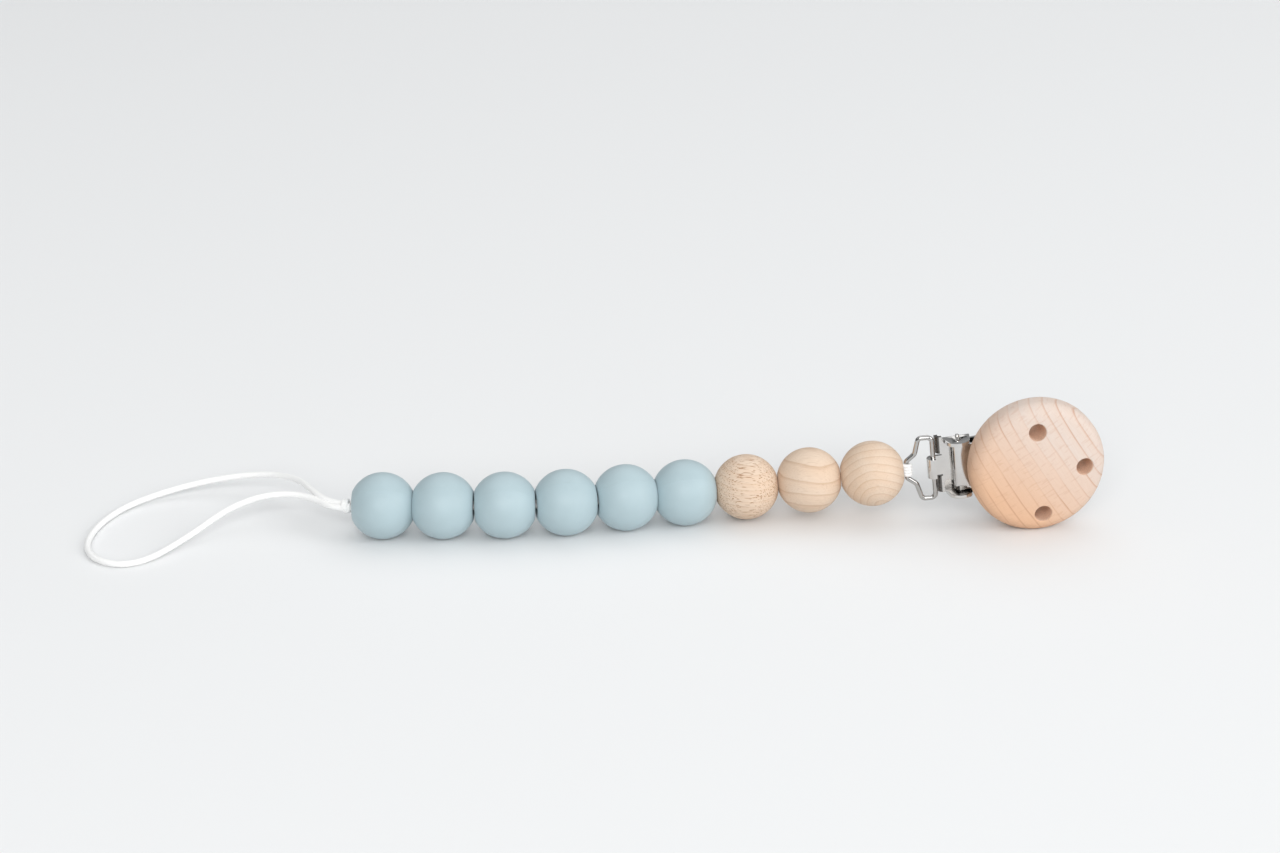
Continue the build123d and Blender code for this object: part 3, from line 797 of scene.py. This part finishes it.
def strap_route():
    """The whole cord on the beads: out along one strand, round the bail's bar and back on the other."""
    strap = strap_sizes()
    offset = (strap.cord_d + strap.strand_gap) / 2
    first = mouth() - bead_axis(BEADS[0]) * MM
    stations = [(first, bead_axis(BEADS[0]))]
    for before, after in zip(BEADS, BEADS[1:]):
        half = (strap.silicone_l if before.startswith("silicone") else strap.wood_l) / 2
        end = joint_place(f"{before}_spin") + bead_axis(before) * half
        stations.append((end, (bead_axis(before) + bead_axis(after)).normalized()))
    bar = joint_place("bail_swing")
    last = bead_axis(BEADS[-1])
    stations.append((bar - last * STRAND_END, last))
    hitch = hitch_route(bar, last, last.cross(UP).normalized())
    near = [p + across(axis) * offset for p, axis in stations]
    far = [p - across(axis) * offset for p, axis in stations]
    return near + hitch + far[::-1]


# The knot: its turns, its length along the string, and where its ends are tucked in.
KNOT_TURNS = 2.1
KNOT_LENGTH = 1.25 * MM
TUCK_ALONG, TUCK_ACROSS = 0.5 * MM, 0.3 * MM


def knot_route():
    """The knot's cord: two turns round both strands, with its ends tucked in."""
    knot_r = strap_sizes().knot_r
    axis = bead_axis(BEADS[0])
    level = across(axis)
    rise = level.cross(axis)
    middle = centre_of("loop_knot")
    points = []
    per_turn = 10
    for n in range(int(KNOT_TURNS * per_turn) + 1):
        angle = 2 * pi * n / per_turn
        along = (n / (KNOT_TURNS * per_turn) - 0.5) * KNOT_LENGTH
        points.append(middle + axis * along + (level * cos(angle) + rise * sin(angle)) * knot_r)
    tuck = axis * TUCK_ALONG - level * TUCK_ACROSS
    return [middle - tuck] + points + [middle + tuck]


class OBJECT_OT_clip_cord_loop(bpy.types.Operator):
    """Makes the free loop of braided cord that a pacifier's ring hangs in"""

    bl_idname = "object.clip_cord_loop"
    bl_label = "Cord loop"

    def execute(self, context):
        strap = strap_sizes()
        start = mouth()
        route = [Vector((start.x + x * MM, start.y + y * MM, z * MM)) for x, y, z in LOOP_ROUTE]
        cord, points = braided_cord("loop_cord", route, strap.cord_d, 0.13 * MM)
        dress(cord, braided_fibre(), "strap")
        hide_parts("cord_loop")
        return {"FINISHED"}


class OBJECT_OT_clip_knot(bpy.types.Operator):
    """Makes the knot that stops the cord at the first bead's mouth"""

    bl_idname = "object.clip_knot"
    bl_label = "Knot"

    def execute(self, context):
        strap = strap_sizes()
        knot, _ = braided_cord("stopper_knot", knot_route(), 0.8 * strap.cord_d, 0.13 * MM)
        dress(knot, braided_fibre(), "strap")
        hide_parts("loop_knot")
        return {"FINISHED"}


class OBJECT_OT_clip_strap(bpy.types.Operator):
    """Makes the doubled cord inside the beads and its hitch round the bail"""

    bl_idname = "object.clip_strap"
    bl_label = "Strap cord"

    def execute(self, context):
        strap = strap_sizes()
        bar = joint_place("bail_swing")
        cord, _ = braided_cord(
            "doubled_cord", strap_route(), strap.cord_d, 0.15 * MM, around=28, thin_at=bar
        )
        dress(cord, braided_fibre(), "strap")
        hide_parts("strap_cord")
        return {"FINISHED"}


# ---- beads -----------------------------------------------------------------------------------------


def ball_outline(diameter, length, bore, edge, crown):
    """Half the section of a ball with a crowned flat at each end and a bore, as a closed outline."""
    radius, half = diameter / 2, length / 2
    edge_out = sqrt((radius - edge) ** 2 - (half - edge) ** 2)
    lean = degrees(atan2(half - edge, edge_out))
    upper = arc((bore + edge, half - edge), edge, 180, 90, 5)
    start = upper[-1][0]
    for x, z in row(upper[-1], (edge_out, half), 8):
        share = (x - start) / (edge_out - start)
        upper.append((x, z + crown * 4 * share * (1 - share)))
    upper += arc((edge_out, half - edge), edge, 90, lean, 6)
    ball = arc((0, 0), radius, lean, -lean, 56)[1:-1]
    lower = [(r, -z) for r, z in reversed(upper)]
    wall = row(lower[-1], upper[0], 6)
    return upper + ball + lower + wall + [upper[0]]


def raise_mould_line(bead, width, height, radius, flat):
    """Adds the thin ridge that the two halves of the mould leave, along both sides of the ball."""

    def on_line(p):
        return abs(p.y) < TINY and p.length > radius - 0.1 * MM and abs(p.z) < flat

    choose(bead, "EDGE", on_line)
    bpy.ops.mesh.bevel(offset=width / 2, segments=2, affect="EDGES")
    choose(bead, "VERT", on_line)
    swell = 1 + height / radius
    bpy.ops.transform.resize(value=(swell, swell, swell), center_override=(0, 0, 0))
    bpy.ops.object.mode_set(mode="OBJECT")


def bead_matrix(node, spin):
    """Where a bead lies, and how far it is turned on its string."""
    axis = bead_axis(node)
    lying = standing(joint_place(f"{node}_spin"), across(axis), axis)
    return lying @ Matrix.Rotation(radians(spin), 4, "Z")


# How far each silicone bead has turned on the string, in degrees: its mould line shows low down.
SILICONE_SPINS = [-52, -58, -49, -60, -54, -47]


class OBJECT_OT_clip_silicone_beads(bpy.types.Operator):
    """Models one matte silicone bead and copies it along the string"""

    bl_idname = "object.clip_silicone_beads"
    bl_label = "Silicone beads"

    def execute(self, context):
        strap = strap_sizes()
        edge, crown = strap.edge_r, strap.silicone_crown
        outline = ball_outline(strap.silicone_d, strap.silicone_l, strap.bore_r, edge, crown)
        model = turned("silicone_ball", outline, 96)
        flat = strap.silicone_l / 2 - edge
        raise_mould_line(model, strap.flash_width, strap.flash_height, strap.silicone_d / 2, flat)
        smooth(model, 40)
        material = matte_silicone()
        for node, spin in zip(BEADS[:6], SILICONE_SPINS):
            bead = copied(model, node.replace("bead", "ball"))
            place(bead, bead_matrix(node, spin))
            dress(bead, material, node)
            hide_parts(node)
        bpy.data.objects.remove(model)
        return {"FINISHED"}


# Each wooden bead's grain: its turn in degrees, the gap between rings, where the tree's heart is from
# the bead's middle, how dark the short pores are, and how dark the ring lines are.
BEAD_GRAINS = {
    "wood_bead_1": ((3, 2, -2), 1.3 * MM, (0.004, 0.050), 0.9, 0.16),
    "wood_bead_2": ((-4, 2, 1), 2.9 * MM, (0.006, 0.040), 0.14, 0.3),
    "wood_bead_3": ((0, 24, 70), 1.6 * MM, (0.0040, 0.0080), 0.14, 0.24),
}


class OBJECT_OT_clip_wood_beads(bpy.types.Operator):
    """Models one beech bead and copies it along the string, each copy with its own grain"""

    bl_idname = "object.clip_wood_beads"
    bl_label = "Wooden beads"

    def execute(self, context):
        strap = strap_sizes()
        outline = ball_outline(strap.wood_d, strap.wood_l, strap.bore_r, strap.edge_r, strap.wood_crown)
        model = turned("beech_ball", outline, 96)
        smooth(model, 40)
        for node, (turn, gap, heart, dashes, line_share) in BEAD_GRAINS.items():
            bead = copied(model, node.replace("bead", "ball"))
            place(bead, bead_matrix(node, 0))
            middle, turn = joint_place(f"{node}_spin"), [radians(a) for a in turn]
            wood = beech_bead_wood(f"beech_{node}", middle, turn, gap, heart, dashes, line_share)
            dress(bead, wood, node)
            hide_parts(node)
        bpy.data.objects.remove(model)
        return {"FINISHED"}


# ---- disc ------------------------------------------------------------------------------------------


def disc_outline():
    """Half the disc's section, from the middle of its back round the rim to the crown."""
    clip = clip_sizes()
    radius = clip.disc_d / 2
    crown_r = (radius**2 + clip.disc_sag**2) / (2 * clip.disc_sag)
    crown_z = clip.disc_t - crown_r
    rim_x = radius - clip.rim_r
    rim_z = crown_z + sqrt((crown_r - clip.rim_r) ** 2 - rim_x**2)
    lean = degrees(atan2(rim_z - crown_z, rim_x))
    back = [(0, 0)] + row((0, 0), (radius - clip.back_r, 0), 12)
    back += arc((radius - clip.back_r, clip.back_r), clip.back_r, -90, 0, 8)
    rim = arc((rim_x, rim_z), clip.rim_r, 0, lean, 10)
    crown = arc((0, crown_z), crown_r, lean, 90, 22)[1:]
    return back + row(back[-1], rim[0], 3) + rim + crown


def crown_height(distance):
    """The face's height over the disc's back at a distance from the middle, and its slope there."""
    clip = clip_sizes()
    crown_r = ((clip.disc_d / 2) ** 2 + clip.disc_sag**2) / (2 * clip.disc_sag)
    return clip.disc_t - crown_r + sqrt(crown_r**2 - distance**2), distance / crown_r


def vent_cutter(name, middle, radius):
    """What a vent drill and its sanding take away: a bore with a rounded edge at both faces."""
    clip = clip_sizes()
    edge, past, proud = clip.vent_edge, MM, 0.012 * MM
    wide = radius + edge
    height, slope = crown_height(hypot(middle.x, middle.y))
    lower = [(0, -past), (wide, -past)] + arc((wide, edge - proud), edge, -90, -180, 6)
    upper = arc((wide, height - edge + proud), edge, 180, 90, 6)
    upper += [(wide, height + past), (0, height + past)]
    cutter = turned(name, lower + upper, 72)
    # The top leans outwards with the face: it is turned to face along X, tipped, and turned back. With
    # no window, rotate turns the other way, so the angles are reversed.
    choose(cutter, "VERT", lambda p: p.z > height / 2)
    swing = atan2(middle.y, middle.x)
    for axis, angle in (("Z", swing), ("Y", -slope), ("Z", -swing)):
        bpy.ops.transform.rotate(value=angle, orient_axis=axis, center_override=(0, 0, height))
    bpy.ops.object.mode_set(mode="OBJECT")
    return place(cutter, Matrix.Translation((middle.x, middle.y, 0)))


def line_vents(disc):
    """Gives the walls of the vents the look of a freshly bored hole."""
    disc.data.materials.append(bored_beech())
    wall = max(vent["dims"]["r_mm"] for vent in VENTS.values()) * MM + 0.1 * MM
    middles = [Vector(vent["pos_m"]) for vent in VENTS.values()]
    for face in disc.data.polygons:
        for middle in middles:
            away = face.center - middle
            if (away - OUT * away.dot(OUT)).length < wall and abs(face.normal.dot(OUT)) < 0.5:
                face.material_index = 1


class OBJECT_OT_clip_disc(bpy.types.Operator):
    """Turns the beech disc, drills its vent holes and seats it on the lever"""

    bl_idname = "object.clip_disc"
    bl_label = "Disc"

    def execute(self, context):
        clip = clip_sizes()
        disc = turned("beech_disc", disc_outline(), 160)
        seat = CLIP @ Matrix.Translation((clip.disc_reach, 0, clip.disc_seat))
        into_disc = seat.inverted()
        cutters = []
        for name, vent in VENTS.items():
            middle = into_disc @ Vector(vent["pos_m"])
            cutters.append(vent_cutter(f"{name}_cutter", middle, vent["dims"]["r_mm"] * MM))
            cut = disc.modifiers.new(name, "BOOLEAN")
            cut.operation = "DIFFERENCE"
            cut.solver = "EXACT"
            cut.object = cutters[-1]
        apply_all(disc)
        for cutter in cutters:
            bpy.data.objects.remove(cutter)
        place(disc, seat)
        smooth(disc, 35)
        dress(disc, beech_disc_wood(seat.translation, seat.to_euler()), "lever")
        line_vents(disc)
        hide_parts("wood_disc")
        return {"FINISHED"}


# ---- metal -----------------------------------------------------------------------------------------


# Millimetres from the bail's long bar, along the clip and to each side of it, that bound the painted
# shade on the lips and ears.
LIP_END = 1.75
TONGUE_SIDE = 2.4
EAR_START = 2.3
EAR_INSIDE = 5.2


def paint_shade_on_lips_and_ears(base):
    """Paints shade on the lips beside the tongue and on the ears' inner walls: a near-black material
    that stands in for the shadow and dark reflections there.
    """
    base.data.materials.append(painted_shade_finish())
    into_clip = CLIP.inverted()
    for face in base.data.polygons:
        spot = into_clip @ face.center / MM
        turned_in = (into_clip.to_3x3() @ face.normal).y * spot.y < -0.3
        lip = spot.x < LIP_END and abs(spot.y) > TONGUE_SIDE
        ear = abs(spot.y) > EAR_INSIDE and spot.x > EAR_START and turned_in
        if lip or ear:
            face.material_index = 1


class OBJECT_OT_clip_metal(bpy.types.Operator):
    """Finishes the wire bail, the clip's base, its lever and the pivot pin in bright nickel, with
    painted shade on the base's lips and ears and a darker nickel, painted shade, on the wire
    """

    bl_idname = "object.clip_metal"
    bl_label = "Bail and clip"

    def execute(self, context):
        edge = clip_sizes().sheet_edge
        nickel = bright_nickel("bright_nickel", 1.0)
        base = cad_copy("clip_base", "pressed_base", edge)
        dress(base, nickel, "base")
        # Painted shade: the lips beside the tongue and the ears' inner walls get a near-black material.
        paint_shade_on_lips_and_ears(base)
        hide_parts("clip_base")
        lever = cad_copy("clip_lever", "pressed_lever", edge)
        dress(lever, nickel, "lever")
        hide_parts("clip_lever")
        # The wire's darker nickel is painted shade, standing in for the dark reflections along its
        # edges.
        coat(frame["nodes"]["wire_bail"], bright_nickel("nickel_wire", 0.74))
        coat(frame["nodes"]["pivot_pin"], nickel)
        return {"FINISHED"}


class OBJECT_OT_clip_insert(bpy.types.Operator):
    """Finishes the moulded insert of the clip's jaw"""

    bl_idname = "object.clip_insert"
    bl_label = "Jaw insert"

    def execute(self, context):
        pad = cad_copy("jaw_pad", "moulded_jaw", clip_sizes().sheet_edge)
        dress(pad, moulded_insert(), "base")
        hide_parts("jaw_pad")
        return {"FINISHED"}


class OBJECT_OT_clip_screws(bpy.types.Operator):
    """Finishes the two screws that hold the disc"""

    bl_idname = "object.clip_screws"
    bl_label = "Screws"

    def execute(self, context):
        coat(frame["nodes"]["disc_screws"], zinc_plate())
        return {"FINISHED"}


# ---- stage -----------------------------------------------------------------------------------------

CAMERA_FROM_BEAD = Vector((29.63 * MM, -494.93 * MM, 228.76 * MM))  # from the third bead's middle
CAMERA_TILT = 67  # degrees from looking straight down
LENS = 70

# Name, place from the middle of the object, width, height, watts.
SOFT_BOXES = [
    ("window", (1.85, -1.05, 1.05), 1.7, 1.3, 25.0),
    ("front_light", (-0.1, -1.95, 1.15), 1.5, 1.1, 29.0),
    ("overhead", (0.3, 1.1, 1.85), 2.4, 2.0, 11.5),
]
# The room's brightness at heights from the horizon to straight up.
ROOM_LIGHT = [(0.0, 0.06), (0.3, 0.24), (0.6, 0.54), (1.0, 0.66)]


def pale_room():
    """A room that is brighter towards its ceiling."""
    world = bpy.data.worlds.new("pale_room")
    world.use_nodes = True
    nodes, links = world.node_tree.nodes, world.node_tree.links
    parts = nodes.new("ShaderNodeSeparateXYZ")
    links.new(nodes.new("ShaderNodeTexCoord").outputs["Generated"], parts.inputs[0])
    ramp = nodes.new("ShaderNodeValToRGB")
    links.new(parts.outputs["Z"], ramp.inputs["Fac"])
    elements = ramp.color_ramp.elements
    while len(elements) < len(ROOM_LIGHT):
        elements.new(0.5)
    for element, (height, level) in zip(elements, ROOM_LIGHT):
        element.position = height
        element.color = (level * 0.985, level, level * 1.01, 1)
    links.new(ramp.outputs["Color"], nodes["Background"].inputs["Color"])
    return world


class OBJECT_OT_clip_stage(bpy.types.Operator):
    """Sets the floor, the soft lights and the camera"""

    bl_idname = "object.clip_stage"
    bl_label = "Stage"

    def execute(self, context):
        bpy.ops.object.select_all(action="DESELECT")
        bpy.ops.mesh.primitive_plane_add(size=8)
        floor = named(bpy.context.object, "floor")
        floor.data.materials.append(seamless_paper())
        for name, where, width, height, watts in SOFT_BOXES:
            bpy.ops.object.light_add(type="AREA", location=where)
            light = named(bpy.context.object, name)
            light.rotation_euler = (-Vector(where)).to_track_quat("-Z", "Y").to_euler()
            light.data.shape = "RECTANGLE"
            light.data.size = width
            light.data.size_y = height
            light.data.energy = watts
        bpy.context.scene.world = pale_room()
        bpy.context.scene.view_settings.view_transform = "Standard"
        eye = joint_place("silicone_bead_3_spin") + CAMERA_FROM_BEAD
        bpy.ops.object.camera_add(location=eye, rotation=(radians(CAMERA_TILT), 0, 0))
        camera = named(bpy.context.object, "camera")
        camera.data.lens = LENS
        camera.data.clip_start = 0.01
        bpy.context.scene.camera = camera
        return {"FINISHED"}


# ---- panel and registration ------------------------------------------------------------------------

PIECE_OPERATORS = [
    OBJECT_OT_clip_stage,
    OBJECT_OT_clip_cord_loop,
    OBJECT_OT_clip_knot,
    OBJECT_OT_clip_strap,
    OBJECT_OT_clip_silicone_beads,
    OBJECT_OT_clip_wood_beads,
    OBJECT_OT_clip_disc,
    OBJECT_OT_clip_metal,
    OBJECT_OT_clip_insert,
    OBJECT_OT_clip_screws,
]


class VIEW3D_PT_pacifier_clip(bpy.types.Panel):
    """Lists the sizes, the colours and the pieces of the clip"""

    bl_label = "Pacifier Clip"
    bl_idname = "VIEW3D_PT_pacifier_clip"
    bl_space_type = "VIEW_3D"
    bl_region_type = "UI"
    bl_category = "Pacifier Clip"

    def draw(self, context):
        for group in (context.scene.strap_sizes, context.scene.clip_sizes, context.scene.clip_tones):
            box = self.layout.box()
            for name in group.__annotations__:
                box.prop(group, name)
        for operator in PIECE_OPERATORS:
            self.layout.operator(operator.bl_idname)


CLASSES = [StrapSizes, ClipSizes, ClipTones, *PIECE_OPERATORS, VIEW3D_PT_pacifier_clip]


def register():
    for entry in CLASSES:
        bpy.utils.register_class(entry)
    bpy.types.Scene.strap_sizes = bpy.props.PointerProperty(type=StrapSizes)
    bpy.types.Scene.clip_sizes = bpy.props.PointerProperty(type=ClipSizes)
    bpy.types.Scene.clip_tones = bpy.props.PointerProperty(type=ClipTones)


def unregister():
    del bpy.types.Scene.strap_sizes
    del bpy.types.Scene.clip_sizes
    del bpy.types.Scene.clip_tones
    for entry in reversed(CLASSES):
        bpy.utils.unregister_class(entry)


def main():
    register()
    bpy.ops.object.clip_stage()
    bpy.ops.object.clip_cord_loop()
    bpy.ops.object.clip_knot()
    bpy.ops.object.clip_strap()
    bpy.ops.object.clip_silicone_beads()
    bpy.ops.object.clip_wood_beads()
    bpy.ops.object.clip_disc()
    bpy.ops.object.clip_metal()
    bpy.ops.object.clip_insert()
    bpy.ops.object.clip_screws()


if __name__ == "__main__":
    main()
